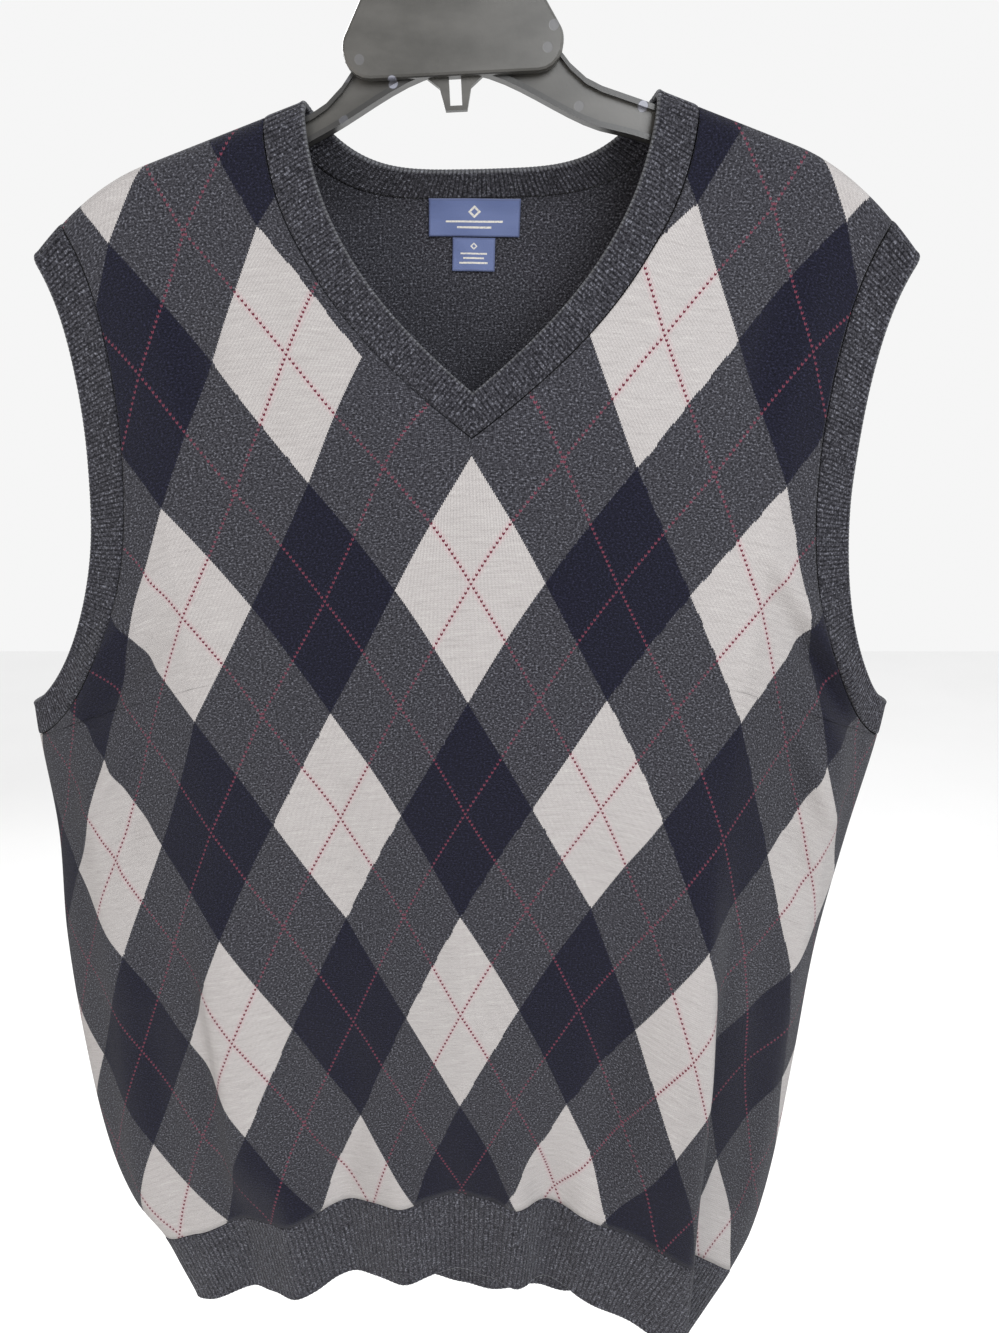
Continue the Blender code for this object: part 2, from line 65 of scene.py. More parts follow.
# A line for each section down the body: its row, its middle, half widths to -X and +X, the depth of
# its side line, how far its ends droop, how far the back's middle droops too, and its fullness.
SECTIONS = (
    Section(0.000, 0.0120, 0.253, 0.246, 0.010, 0.050, 0.046, 0.00, 0.025),
    Section(0.080, 0.0095, 0.253, 0.246, 0.010, 0.055, 0.050, 0.00, 0.027),
    Section(0.165, 0.0070, 0.254, 0.244, 0.010, 0.060, 0.058, 0.10, 0.029),
    Section(0.260, 0.0048, 0.255, 0.240, 0.011, 0.062, 0.062, 0.40, 0.030),
    Section(0.330, 0.0028, 0.250, 0.229, 0.011, 0.063, 0.066, 0.60, 0.030),
    Section(0.400, -0.0010, 0.250, 0.221, 0.010, 0.064, 0.072, 0.70, 0.029),
    Section(0.480, -0.0028, 0.246, 0.216, 0.008, 0.064, 0.078, 0.75, 0.027),
    Section(0.555, -0.0035, 0.237, 0.208, 0.003, 0.063, 0.084, 0.78, 0.024),
    Section(0.600, -0.0037, 0.222, 0.197, -0.004, 0.062, 0.088, 0.80, 0.020),
    Section(0.628, -0.0038, 0.203, 0.184, -0.009, 0.060, 0.090, 0.80, 0.017),
    Section(0.660, -0.0040, 0.193, 0.170, -0.009, 0.056, 0.090, 0.80, 0.015),
    Section(0.690, -0.0040, 0.185, 0.157, -0.008, 0.052, 0.090, 0.80, 0.014),
)
ROWS = np.array([section.row for section in SECTIONS])

Shoulder = namedtuple("Shoulder", "lower reach tip front_waist back_waist")
SHOULDERS = {
    -1: Shoulder(0.0014, 0.165, 0.2234, 0.1995, 0.2110),
    1: Shoulder(-0.0034, 0.152, 0.2187, 0.1970, 0.2030),
}

Fold = namedtuple("Fold", "top_row low_row end_row top_x low_x height inner outer lean")
# A line for each upright fold: the rows where it starts, is full and ends, its X at the first two,
# its height, the widths of its flanks, and how far it leans over outward. The last ones of each
# table are the gathers above the rib.
FRONT_FOLDS = (
    Fold(0.330, 0.640, 0.850, 0.141, 0.133, 0.021, 0.050, 0.022, 0.62),
    Fold(0.205, 0.340, 0.850, 0.212, 0.210, 0.006, 0.030, 0.016, 0.0),
    Fold(0.230, 0.430, 0.850, -0.222, -0.210, 0.006, 0.034, 0.018, 0.0),
    Fold(0.370, 0.560, 0.640, -0.152, -0.138, 0.009, 0.050, 0.018, 0.40),
    Fold(0.545, 0.665, 0.850, -0.148, -0.142, -0.007, 0.018, 0.030, 0.0),
    Fold(0.570, 0.665, 0.850, -0.112, -0.108, 0.009, 0.026, 0.020, 0.0),
    Fold(0.560, 0.665, 0.850, -0.076, -0.072, -0.007, 0.022, 0.024, 0.0),
    Fold(0.570, 0.665, 0.850, -0.040, -0.036, 0.007, 0.020, 0.020, 0.0),
    Fold(0.575, 0.665, 0.850, -0.004, -0.002, -0.005, 0.020, 0.020, 0.0),
    Fold(0.570, 0.665, 0.850, 0.033, 0.035, 0.007, 0.018, 0.014, 0.0),
    Fold(0.565, 0.665, 0.850, 0.057, 0.055, -0.007, 0.014, 0.022, 0.0),
    Fold(0.560, 0.665, 0.850, 0.089, 0.087, 0.006, 0.022, 0.022, 0.0),
)
BACK_FOLDS = (
    Fold(0.120, 0.720, 0.850, -0.095, -0.075, 0.007, 0.045, 0.040, 0.0),
    Fold(0.200, 0.720, 0.850, 0.075, 0.095, 0.008, 0.040, 0.050, 0.0),
    Fold(0.550, 0.665, 0.850, -0.140, -0.132, 0.006, 0.026, 0.024, 0.0),
    Fold(0.555, 0.665, 0.850, -0.030, -0.026, 0.005, 0.026, 0.026, 0.0),
    Fold(0.560, 0.665, 0.850, 0.022, 0.020, -0.004, 0.022, 0.022, 0.0),
    Fold(0.555, 0.665, 0.850, 0.058, 0.054, 0.005, 0.024, 0.020, 0.0),
    Fold(0.550, 0.665, 0.850, 0.146, 0.132, 0.006, 0.026, 0.022, 0.0),
)

Crease = namedtuple("Crease", "start_x start_row end_x end_row height width")
# A line for each soft crease: its two ends, how far it stands out (or in), and its half width.
FRONT_CREASES = (
    Crease(-0.235, 0.262, -0.150, 0.190, 0.0046, 0.014),
    Crease(-0.240, 0.288, -0.158, 0.232, -0.0040, 0.013),
    Crease(-0.238, 0.330, -0.176, 0.284, 0.0034, 0.013),
    Crease(-0.225, 0.372, -0.180, 0.330, -0.0026, 0.015),
    Crease(0.230, 0.262, 0.142, 0.180, 0.0050, 0.014),
    Crease(0.236, 0.290, 0.160, 0.216, -0.0048, 0.013),
    Crease(0.224, 0.340, 0.170, 0.262, 0.0040, 0.013),
    Crease(0.214, 0.390, 0.184, 0.330, -0.0028, 0.014),
    Crease(-0.150, 0.030, -0.128, 0.150, -0.0026, 0.020),
    Crease(0.156, 0.026, 0.132, 0.160, -0.0026, 0.020),
    Crease(-0.060, 0.480, -0.074, 0.640, -0.0026, 0.018),
    Crease(0.020, 0.505, 0.034, 0.640, 0.0026, 0.016),
    Crease(-0.176, 0.430, -0.166, 0.610, 0.0030, 0.022),
    Crease(0.092, 0.470, 0.088, 0.640, -0.0034, 0.020),
    Crease(-0.100, 0.330, -0.060, 0.360, -0.0014, 0.026),
    Crease(0.050, 0.400, 0.110, 0.372, -0.0014, 0.024),
)
BACK_CREASES = (
    Crease(-0.236, 0.262, -0.140, 0.200, 0.0032, 0.016),
    Crease(-0.236, 0.300, -0.160, 0.250, -0.0026, 0.015),
    Crease(0.230, 0.262, 0.140, 0.200, 0.0032, 0.016),
    Crease(0.230, 0.300, 0.160, 0.252, -0.0026, 0.015),
    Crease(-0.080, 0.060, 0.085, 0.066, 0.0018, 0.018),
    Crease(-0.120, 0.420, -0.090, 0.620, 0.0026, 0.022),
    Crease(0.030, 0.440, 0.044, 0.630, -0.0024, 0.020),
    Crease(0.150, 0.400, 0.132, 0.610, 0.0026, 0.022),
    Crease(-0.020, 0.330, 0.060, 0.350, -0.0012, 0.026),
)

# Knitting
WALES = 55  # from a diamond's middle to its corner
COURSES = 110  # from one tip of a diamond to the other
DIAMOND_DEPTH = 0.13  # in rows of the form
BACK_DIAMOND = 0.075  # half a diamond's width on the back, which shows its stitches but no diamonds
TOP_FLARE = 0.030  # how far the diamonds spread toward the shoulders
# Where the tips of the diamonds lie on each side: how far round the body from the centre front,
# and in which row. A line for each row of tips, counted from the top of the diamond under the V.
TIP_COUNTS = (-1.0, 0.0, 1.0, 2.0, 3.0)
ACROSS = (0.0, 1.0, 2.0, 3.0)  # the tips of a line, counted from the centre
LEFT_TIPS = (
    ((0, 0.0790), (0.0775, 0.0480), (0.1525, 0.0292), (0.2250, 0.0290)),
    ((0, 0.1645), (0.0754, 0.1726), (0.1540, 0.1690), (0.2205, 0.1700)),
    ((0, 0.2940), (0.0740, 0.2954), (0.1516, 0.2873), (0.2078, 0.2936)),
    ((0, 0.4245), (0.0654, 0.4209), (0.1412, 0.4235), (0.2053, 0.4191)),
    ((0, 0.5565), (0.0619, 0.5616), (0.1335, 0.5590), (0.2030, 0.5560)),
)
RIGHT_TIPS = (
    ((0, 0.0400), (0.0756, 0.0417), (0.1491, 0.0211), (0.2200, 0.0200)),
    ((0, 0.1645), (0.0760, 0.1645), (0.1547, 0.1565), (0.2185, 0.1580)),
    ((0, 0.2940), (0.0746, 0.2882), (0.1500, 0.2855), (0.2043, 0.2927)),
    ((0, 0.4245), (0.0749, 0.4128), (0.1446, 0.4209), (0.2079, 0.4173)),
    ((0, 0.5565), (0.0657, 0.5481), (0.1367, 0.5598), (0.1900, 0.5600)),
)
NECK_RIB = 0.00235  # from rib to rib
ARM_RIB = 0.00240
HEM_RIB = 0.00330
RIB_HEIGHT = 0.00042
HEM_RIB_HEIGHT = 0.0003
RIB_POINTS = 8
BAND_GAP = 0.00084  # between a band and its seam
EDGE_START = 0.0024  # where a free edge starts to round over
EDGE_STEPS = np.array([0.0015, 0.0009, 0.0005, 0.0002, 0.0])
BEAD, BEAD_REACH = 0.00035, 0.0016  # the raised last course of a band
SEWN, SEWN_REACH = 0.0006, 0.0016  # how far the seam pulls a band in

# The labels: width and height, the X of their middle, how they slant, their wall and their gap
MAIN_LABEL, SIZE_LABEL = (0.048, 0.0185), (0.0225, 0.0170)
LABEL_X, LABEL_LEAN = -0.003, 0.026
LABEL_WALL, LABEL_GAP = 0.0006, 0.0006

SHOULDER_ROWS = 36
ARMHOLE_ROWS = 32
BODY_ROWS = 88
HALF_COLUMNS = 112


# The form
def column(name, row):
    """The named column of SECTIONS at these rows, on a smooth curve through the table."""
    values = np.array([getattr(section, name) for section in SECTIONS])
    last = len(values) - 1
    here = np.arange(last + 1)
    after, before = np.minimum(here + 1, last), np.maximum(here - 1, 0)
    slopes = (values[after] - values[before]) / (ROWS[after] - ROWS[before])
    low = np.clip(np.searchsorted(ROWS, row, side="right") - 1, 0, last - 1)
    span = ROWS[low + 1] - ROWS[low]
    part = np.clip((row - ROWS[low]) / span, 0, 1)
    square, cube = part ** 2, part ** 3
    ends = (2 * cube - 3 * square + 1) * values[low] + (3 * square - 2 * cube) * values[low + 1]
    bends = (cube - 2 * square + part) * slopes[low] + (cube - square) * slopes[low + 1]
    return ends + bends * span


def smooth(value):
    value = np.clip(value, 0.0, 1.0)
    return value * value * (3 - 2 * value)


def half_width(side, row):
    return np.where(side > 0, column("right", row), column("left", row))


def of_side(side, name):
    """A column of SHOULDERS, for an array of sides."""
    return np.where(side > 0, getattr(SHOULDERS[1], name), getattr(SHOULDERS[-1], name))


def shoulder_line(x):
    reach = np.abs(x)
    line = of_side(x, "lower") * np.minimum(reach / NECK_EDGE, 1)
    line = line + SHOULDER_SLOPE * np.maximum(reach - NECK_EDGE, 0)
    return line + SHOULDER_FALL * np.maximum(reach - of_side(x, "reach"), 0) ** 2


def row_drop(angle, row):
    out = np.sin(angle)
    lower_row = np.maximum(row, V_SEAM)
    spread = out * out
    spread = np.where(np.cos(angle) < 0, spread + (1 - spread) * column("level", lower_row), spread)
    leaning = smooth((out + 1) / 2)
    lower = column("drop_left", lower_row) * (1 - leaning)
    lower = lower + column("drop_right", lower_row) * leaning
    part = np.minimum(row / V_SEAM, 1)
    ridge = shoulder_line(half_width(out, row) * out)
    return ridge * (1 - part) + (lower_row + lower * spread) * part


def fold_height(folds, x, row):
    """How far the folds stand out here, and how far they lean along X."""
    total, leaning = 0.0, 0.0
    for fold in folds:
        part = (row - fold.top_row) / (fold.low_row - fold.top_row)
        middle = fold.top_x + (fold.low_x - fold.top_x) * smooth(part)
        away = (x - middle) * math.copysign(1, fold.top_x)
        width = np.where(away > 0, fold.outer, fold.inner)
        height = fold.height * smooth(part * 1.6) * smooth(1 - np.abs(away) / width)
        height = height * smooth((fold.end_row - row) / 0.06)
        total = total + height
        leaning = leaning + height * math.copysign(fold.lean, fold.top_x)
    return total, leaning


def crease_height(creases, x, row):
    total = 0.0
    for crease in creases:
        across, down = crease.end_x - crease.start_x, crease.end_row - crease.start_row
        length = math.hypot(across, down)
        part = ((x - crease.start_x) * across + (row - crease.start_row) * down) / length ** 2
        away = np.abs((x - crease.start_x) * down - (row - crease.start_row) * across) / length
        ends = smooth(part * 3) * smooth((1 - part) * 3)
        total = total + crease.height * ends * smooth(1 - away / crease.width)
    return total


def slack(x, row):
    """The slight unevenness of hanging cloth."""
    broad = 0.0008 * np.sin(x * 31 + row * 9) + 0.0006 * np.sin(x * 17 - row * 37 + 1)
    return (broad + 0.0003 * np.sin(x * 88 + 5 * np.sin(row * 21))) * smooth(row / 0.08)


def relief(folds, creases, x, out, row):
    total, leaning = fold_height(folds, x, row)
    fading = smooth((1 - out * out) / 0.15)
    return (total + crease_height(creases, x, row) + slack(x, row)) * fading, leaning * fading


def place(angle, row):
    """The points of the form at these angles and rows."""
    angle, row = np.broadcast_arrays(np.asarray(angle, float), np.asarray(row, float))
    out = np.sin(angle)
    x = half_width(out, row) * out
    drop = row_drop(angle, row)
    below = np.maximum(drop - shoulder_line(x), 0)
    rounding = RIDGE_RADIUS * np.sqrt(1 - (1 - np.minimum(below / RIDGE_RADIUS, 1)) ** 2)
    side = column("side", row)
    front = side + (FRONT_PLANE - side) * np.sqrt(np.maximum(1 - np.abs(out) ** FRONT_POWER, 0))
    front = -rounding + (front + RIDGE_RADIUS) * smooth(below / FRONT_RISE)
    raised, leaning = relief(FRONT_FOLDS, FRONT_CREASES, x, out, row)
    front = front - raised
    back = side + column("back", row) * np.sqrt(np.maximum(1 - np.abs(out) ** BACK_POWER, 0))
    back = rounding + (back - RIDGE_RADIUS) * smooth(below / BACK_RISE)
    back = back + relief(BACK_FOLDS, BACK_CREASES, x, out, row)[0]
    ahead = np.cos(angle) >= 0
    across = column("centre", row) + x + np.where(ahead, leaning, 0)
    return np.stack([across, np.where(ahead, front, back), SHOULDER_Z - drop], axis=-1)


def facing(angle, row):
    """The outward direction of the form at each point."""
    turn, step = 0.003, 0.00002
    along = place(angle + turn, row) - place(angle - turn, row)
    down = place(angle, row + step) - place(angle, np.maximum(row - step, 0))
    normal = np.cross(down, along)
    return normal / np.linalg.norm(normal, axis=-1, keepdims=True)


# The cut
def on_face(face, side, x, row):
    angle = np.arcsin(np.minimum(x / half_width(side, row), 1)) * side
    return angle if face == "front" else PI - angle


def side_line(face, side, row):
    if face == "front":
        depth = (column("side", row) - FRONT_PLANE) * math.sqrt(FRONT_POWER / 2)
        return side * (PI / 2 - SEAM / 2 / depth)
    depth = column("back", row) * math.sqrt(BACK_POWER / 2)
    return PI - side * (PI / 2 - SEAM / 2 / depth)


def armhole_x(face, side, armpit, inset, row):
    """Half width that the armhole leaves at these rows. inset: 1 along the seam, 0 at the edge."""
    shoulder = SHOULDERS[side]
    waist = shoulder.front_waist if face == "front" else shoulder.back_waist
    waist -= ARM_BAND * inset
    tip = shoulder.tip - ARM_BAND_TOP * inset
    upper = waist + (tip - waist) * np.maximum(1 - row / WAIST_ROW, 0) ** 2
    part = np.clip((row - WAIST_ROW) / (armpit - WAIST_ROW), 0, 1)
    return upper + (half_width(side, row) - waist) * (1 - np.sqrt(1 - part * part))


def armhole_seam(face, side, row):
    inside = on_face(face, side, armhole_x(face, side, ARMPIT_SEAM, 1, row), row)
    return np.where(row >= ARMPIT_SEAM - 1e-9, side_line(face, side, row), inside)


def v_neck_x(half, point, row):
    return half * (1 - (row / point) ** 2)


def back_neck_row(depth, share):
    return depth * (1 - share ** 4)


def panel_rows():
    opening = (np.arange(SHOULDER_ROWS + 1) / SHOULDER_ROWS) ** 1.6
    shoulder = np.maximum(V_SEAM * opening, RIDGE_ROW)
    closing = (1 - np.arange(1, ARMHOLE_ROWS + 1) / ARMHOLE_ROWS) ** 1.7
    armhole = ARMPIT_SEAM - (ARMPIT_SEAM - V_SEAM) * closing
    body = np.linspace(ARMPIT_SEAM, RIB_ROW - SEAM / 2, BODY_ROWS + 1)[1:]
    return np.concatenate([shoulder, armhole, body])


# Laying the knitting on the form
def lengths(points):
    """How far along it each point of a line lies."""
    steps = np.linalg.norm(np.diff(points, axis=0), axis=-1)
    return np.concatenate([[0], np.cumsum(steps)])


def round_body(middle, angle, row, steps=48):
    """Length round the body from its middle line to each point."""
    total, before = 0.0, place(middle + 0 * angle, row)
    for i in range(1, steps + 1):
        after = place(middle + (angle - middle) * i / steps, row)
        total = total + np.hypot(after[..., 0] - before[..., 0], after[..., 1] - before[..., 1])
        before = after
    return total


def along_knots(value, knots, results):
    """The results at the knots, joined by straight lines that carry on past both ends."""
    total, last = results[0], len(knots) - 2
    for i in range(last + 1):
        part = (value - knots[i]) / (knots[i + 1] - knots[i])
        if i > 0:
            part = np.maximum(part, 0)
        if i < last:
            part = np.minimum(part, 1)
        total = total + (results[i + 1] - results[i]) * part
    return total


def stitches(face, angle, row):
    """Each point's wale and course, counted from the middle of the diamond under the V."""
    middle = 0.0 if face == "front" else PI
    side = np.where(np.sin(angle) < 0, -1.0, 1.0)
    across = round_body(middle, angle, row)
    if face == "back":
        wale, course = side * across / BACK_DIAMOND * WALES, row / DIAMOND_DEPTH * COURSES
        return np.stack([wale, course, 0 * row], axis=-1)
    results = []
    for tips in (LEFT_TIPS, RIGHT_TIPS):
        spans, rows = np.moveaxis(np.array(tips), -1, 0)
        down = (row - rows[1, 0]) / DIAMOND_DEPTH
        for _ in range(3):  # each count shifts the other a little
            knots = [np.interp(down, TIP_COUNTS, spans[:, k]) for k in range(len(ACROSS))]
            flare = TOP_FLARE * np.clip((0.9 - down) / 1.9, 0, 1) ** 2 * smooth(across / 0.045)
            diamonds = along_knots(across - flare, knots, ACROSS)
            lines = [np.interp(diamonds, ACROSS, line) for line in rows]
            down = along_knots(row, lines, TIP_COUNTS)
        results.append((diamonds, down))
    diamonds, down = (np.where(side < 0, *pair) for pair in zip(*results))
    return np.stack([side * diamonds * WALES, (down - 0.5) * COURSES, 0 * row], axis=-1)


def grid(ids):
    """The four-sided faces of a grid of numbered points."""
    corners = [ids[:-1, :-1], ids[1:, :-1], ids[1:, 1:], ids[:-1, 1:]]
    return np.stack(corners, axis=-1).reshape(-1, 4)


def at(values, shape, used):
    """One number for all, or a number for each point, at the points in use."""
    return np.broadcast_to(values, shape).reshape(-1)[used]


def shell(name, angle, row, quads, inside, outside, cloth, cloth_inside=None):
    """A closed wall on the form, from depth inside to height outside, carrying its knitting."""
    used, quads = np.unique(quads, return_inverse=True)
    quads = quads.reshape(-1, 4)
    inside, outside = at(inside, angle.shape, used), at(outside, angle.shape, used)
    angle, row = angle.reshape(-1)[used], row.reshape(-1)[used]
    cloth = cloth.reshape(-1, 3)[used]
    under = cloth if cloth_inside is None else cloth_inside.reshape(-1, 3)[used]
    points, normals = place(angle, row), facing(angle, row)
    count = len(angle)
    edges = np.concatenate([quads[:, [k, (k + 1) % 4]] for k in range(4)])
    open_edge = ~np.isin(edges[:, 0] * count + edges[:, 1], edges[:, 1] * count + edges[:, 0])
    rim = edges[open_edge]
    rims = np.stack([rim[:, 1], rim[:, 0], rim[:, 0] + count, rim[:, 1] + count], axis=-1)
    faces = np.concatenate([quads, quads[:, ::-1] + count, rims])
    outer, inner = points + normals * outside[:, None], points - normals * inside[:, None]
    mesh = bpy.data.meshes.new(name)
    mesh.from_pydata(np.concatenate([outer, inner]).tolist(), [], faces.tolist())
    mesh.shade_smooth()
    carried = mesh.attributes.new("cloth", "FLOAT_VECTOR", "POINT")
    laid = np.concatenate([cloth, under]).astype(np.float32)
    carried.data.foreach_set("vector", laid.reshape(-1))
    obj = bpy.data.objects.new(name, mesh)
    bpy.context.scene.collection.objects.link(obj)
    return obj


def two_halves(halves, joined):
    """One numbering for a left and a right grid, which share a middle column where joined."""
    left, right = halves
    count = left[0].size
    ids_left = np.arange(count).reshape(left[0].shape)
    ids_right = count + np.arange(right[0].size).reshape(right[0].shape)
    ids_left[joined, -1] = ids_right[joined, 0]
    quads = np.concatenate([grid(ids_left), grid(ids_right)])
    both = [np.concatenate([a.reshape(-1), b.reshape(-1)]) for a, b in zip(left, right)]
    return both, quads


def front_panel():
    rows = panel_rows()
    shares = np.linspace(0, 1, HALF_COLUMNS + 1)
    halves = []
    for side in (-1, 1):
        neck = on_face("front", side, v_neck_x(NECK_SEAM, V_SEAM, np.minimum(rows, V_SEAM)), rows)
        start = np.where(rows < V_SEAM, neck, 0.0)[:, None]
        end = armhole_seam("front", side, rows)[:, None]
        angle = start + (end - start) * shares
        row = np.broadcast_to(rows[:, None], angle.shape)
        halves.append((angle[:, ::side], row) if side < 0 else (angle, row))
    (angle, row), quads = two_halves(halves, rows >= V_SEAM)
    return shell("front_knit", angle, row, quads, BODY_WALL, 0.0, stitches("front", angle, row))


def back_place(side, share, row):
    """Points of the back, with its rows bent down round the neck near the top."""
    bent = row
    for _ in range(8):
        angle = PI + (armhole_seam("back", side, bent) - PI) * share
        x = half_width(side, bent) * np.abs(np.sin(angle))
        neck = back_neck_row(BACK_NECK_SEAM, np.minimum(x / NECK_SEAM, 1))
        bent = row + neck * np.maximum(1 - row / V_SEAM, 0)
    return angle, bent


def back_panel():
    rows = panel_rows()
    shares = np.linspace(0, 1, HALF_COLUMNS + 1)
    halves = []
    for side in (1, -1):
        row, share = np.meshgrid(rows, shares, indexing="ij")
        angle, row = back_place(side, share, row)
        halves.append((angle[:, ::-1], row[:, ::-1]) if side > 0 else (angle, row))
    (angle, row), quads = two_halves(halves, rows >= 0)
    return shell("back_knit", angle, row, quads, BODY_WALL, 0.0, stitches("back", angle, row))


def rib_shape(phase):
    """A rib's round back and narrow groove, from the groove up."""
    return np.abs(np.sin(PI * phase)) ** 0.6 - 0.7


def edge_shares(width):
    """Shares of the way across a band, close together where its edge rounds over."""
    inner = np.linspace(BAND_GAP / width, 1 - EDGE_START / width, 13)
    return np.concatenate([inner, 1 - EDGE_STEPS / width])


def wall_heights(phase, from_edge, from_seam, height=RIB_HEIGHT):
    """Depth inside and height outside the form of a ribbed wall with a rounded free edge."""
    radius = RIB_WALL / 2
    closing = np.clip(1 - from_edge / radius, 0, 1)
    tuck = radius * 0.82 * (1 - np.sqrt(1 - closing * closing))
    bead = BEAD * smooth(1 - np.abs(from_edge - BEAD_REACH) / BEAD_REACH)
    sewn = SEWN * smooth(1 - from_seam / SEWN_REACH)
    outside = 0.0004 + height * rib_shape(phase) + bead - sewn - tuck
    inside = RIB_WALL + height * rib_shape(phase + 0.5) + bead * 0.6 - sewn * 0.5 - tuck
    return inside, outside


def evenly(line, step):
    """The stations of a stretch of band, respaced evenly along it, and how far along each lies."""
    middle = place((line[:, 0] + line[:, 2]) / 2, (line[:, 1] + line[:, 3]) / 2)
    along = lengths(middle)
    even = np.linspace(0, along[-1], max(int(round(along[-1] / step)), 2) + 1)
    return np.stack([np.interp(even, along, line[:, k]) for k in range(4)], axis=-1), even


def ribbed_cloth(phase, from_edge):
    """The knitting a ribbed wall carries, outside and inside: its ribs face both ways in turn."""
    outer = np.stack([phase, from_edge * 1000, 0 * phase], axis=-1)
    return outer, outer + (0.5, 0, 1)


def band(name, stretches, pitch, width, phase_of=None):
    """A closed ribbed band. Each stretch holds seam angle, seam row, edge angle and edge row."""
    lines, alongs, start = [], [], 0.0
    for stretch in stretches:
        line, along = evenly(stretch, pitch / RIB_POINTS)
        ribs = max(round(along[-1] / pitch), 1)
        lines.append(line[:-1])
        alongs.append(start + along[:-1] / along[-1] * ribs)
        start += ribs
    line, phase = np.concatenate(lines), np.concatenate(alongs)
    share = edge_shares(width)
    angle = line[:, :1] + (line[:, 2:3] - line[:, :1]) * share
    row = line[:, 1:2] + (line[:, 3:4] - line[:, 1:2]) * share
    phase = np.broadcast_to(phase[:, None], angle.shape)
    if phase_of:
        phase = phase_of(angle, row, phase)
    from_edge = np.broadcast_to((1 - share) * width, angle.shape)
    inside, outside = wall_heights(phase, from_edge, share * width)
    ids = np.arange(angle.size).reshape(angle.shape)
    quads = grid(np.concatenate([ids, ids[:1]]))
    sample = place(angle, row)
    down, across = sample[1, 0] - sample[0, 0], sample[0, 1] - sample[0, 0]
    if np.cross(down, across) @ facing(angle[0, 0], row[0, 0]) < 0:
        quads = quads[:, ::-1]
    return shell(name, angle, row, quads, inside, outside, *ribbed_cloth(phase, from_edge))


def neck_stretches():
    """Up the V at +X, round the back of the neck and down the V at -X."""
    rows = V_SEAM * (1 - np.linspace(0, 1, 300) ** 1.3)
    edge_rows = rows * V_EDGE / V_SEAM
    fronts = []
    for side in (1, -1):
        seam = on_face("front", side, v_neck_x(NECK_SEAM, V_SEAM, rows), rows)
        edge = on_face("front", side, v_neck_x(NECK_EDGE, V_EDGE, edge_rows), edge_rows)
        fronts.append(np.stack([seam, rows, edge, edge_rows], axis=-1))
    turn = np.linspace(0, PI, 600)
    share = np.sqrt(np.abs(np.cos(turn)))
    side = np.where(turn < PI / 2, 1, -1)
    rows, edge_rows = back_neck_row(BACK_NECK_SEAM, share), back_neck_row(BACK_NECK_EDGE, share)
    seam = on_face("back", side, share * NECK_SEAM, rows)
    edge = on_face("back", side, share * NECK_EDGE, edge_rows)
    return fronts[0], np.stack([seam, rows, edge, edge_rows], axis=-1), fronts[1][::-1]


def v_phase(angle, row, phase):
    """Ribs square to the seam down both sides of the V, which meet in a mitre."""
    rows = V_SEAM * np.linspace(1, 0, 700)
    seam = np.stack([v_neck_x(NECK_SEAM, V_SEAM, rows), rows], axis=-1)
    along = lengths(seam)
    ahead = np.gradient(seam, axis=0)
    ahead /= np.linalg.norm(ahead, axis=-1, keepdims=True)
    front = (np.cos(angle) > 0) & (row > 0.0005)
    spots = np.stack([np.abs(half_width(np.sin(angle), row) * np.sin(angle)), row], axis=-1)[front]
    nearest = np.argmin(((spots[:, None, :] - seam[None, ::4]) ** 2).sum(-1), axis=1) * 4
    past = ((spots - seam[nearest]) * ahead[nearest]).sum(-1)
    ribs = round(along[-1] / NECK_RIB)
    result = phase.copy()
    result[front] = (along[nearest] + past) / along[-1] * ribs
    return result


def arm_stretches(side):
    """Down the front of the armhole from the shoulder, and up its back."""
    rows = ARMPIT_SEAM * np.sin(np.linspace(0, PI / 2, 700))
    part = np.clip((rows - WAIST_ROW) / (ARMPIT_SEAM - WAIST_ROW), 0, 1)
    edge_rows = np.where(rows > WAIST_ROW, WAIST_ROW + (ARMPIT_EDGE - WAIST_ROW) * part, rows)
    stretches = []
    for face in ("front", "back"):
        seam = on_face(face, side, armhole_x(face, side, ARMPIT_SEAM, 1, rows), rows)
        edge = on_face(face, side, armhole_x(face, side, ARMPIT_EDGE, 0, edge_rows), edge_rows)
        stretches.append(np.stack([seam, rows, edge, edge_rows], axis=-1))
    return stretches[0], stretches[1][::-1]


def hem_rib(name, face):
    """The rib from the body to the hem, its ribs running straight down."""
    top = RIB_ROW + SEAM / 2
    depth = HEM_ROW - top
    body = np.linspace(0.06, 1 - EDGE_START / depth, 14)
    share = np.concatenate([[0, 0.010, 0.03], body, 1 - EDGE_STEPS / depth])
    rows = top + depth * share
    middle = 0.0 if face == "front" else PI
    trial = np.linspace(middle - PI / 2, middle + PI / 2, 900)
    along = lengths(place(trial, 0.655 + 0 * trial))  # half way down the rib
    ribs = round(along[-1] / HEM_RIB)
    turn = np.interp(np.linspace(0, along[-1], ribs * RIB_POINTS + 1), along, trial) - middle
    first, second = (-1, 1) if face == "front" else (1, -1)
    start, end = side_line(face, first, rows)[:, None], side_line(face, second, rows)[:, None]
    angle = start + (end - start) * (turn / PI + 0.5)
    row = np.broadcast_to(rows[:, None], angle.shape)
    phase = np.broadcast_to(np.arange(angle.shape[1]) / RIB_POINTS, angle.shape)
    from_edge = HEM_ROW - row
    inside, outside = wall_heights(phase, from_edge, row - top, HEM_RIB_HEIGHT)
    ids = np.arange(angle.size).reshape(angle.shape)
    cloth, under = ribbed_cloth(phase, from_edge)
    return shell(name, angle, row, grid(ids), inside, outside, cloth, under)


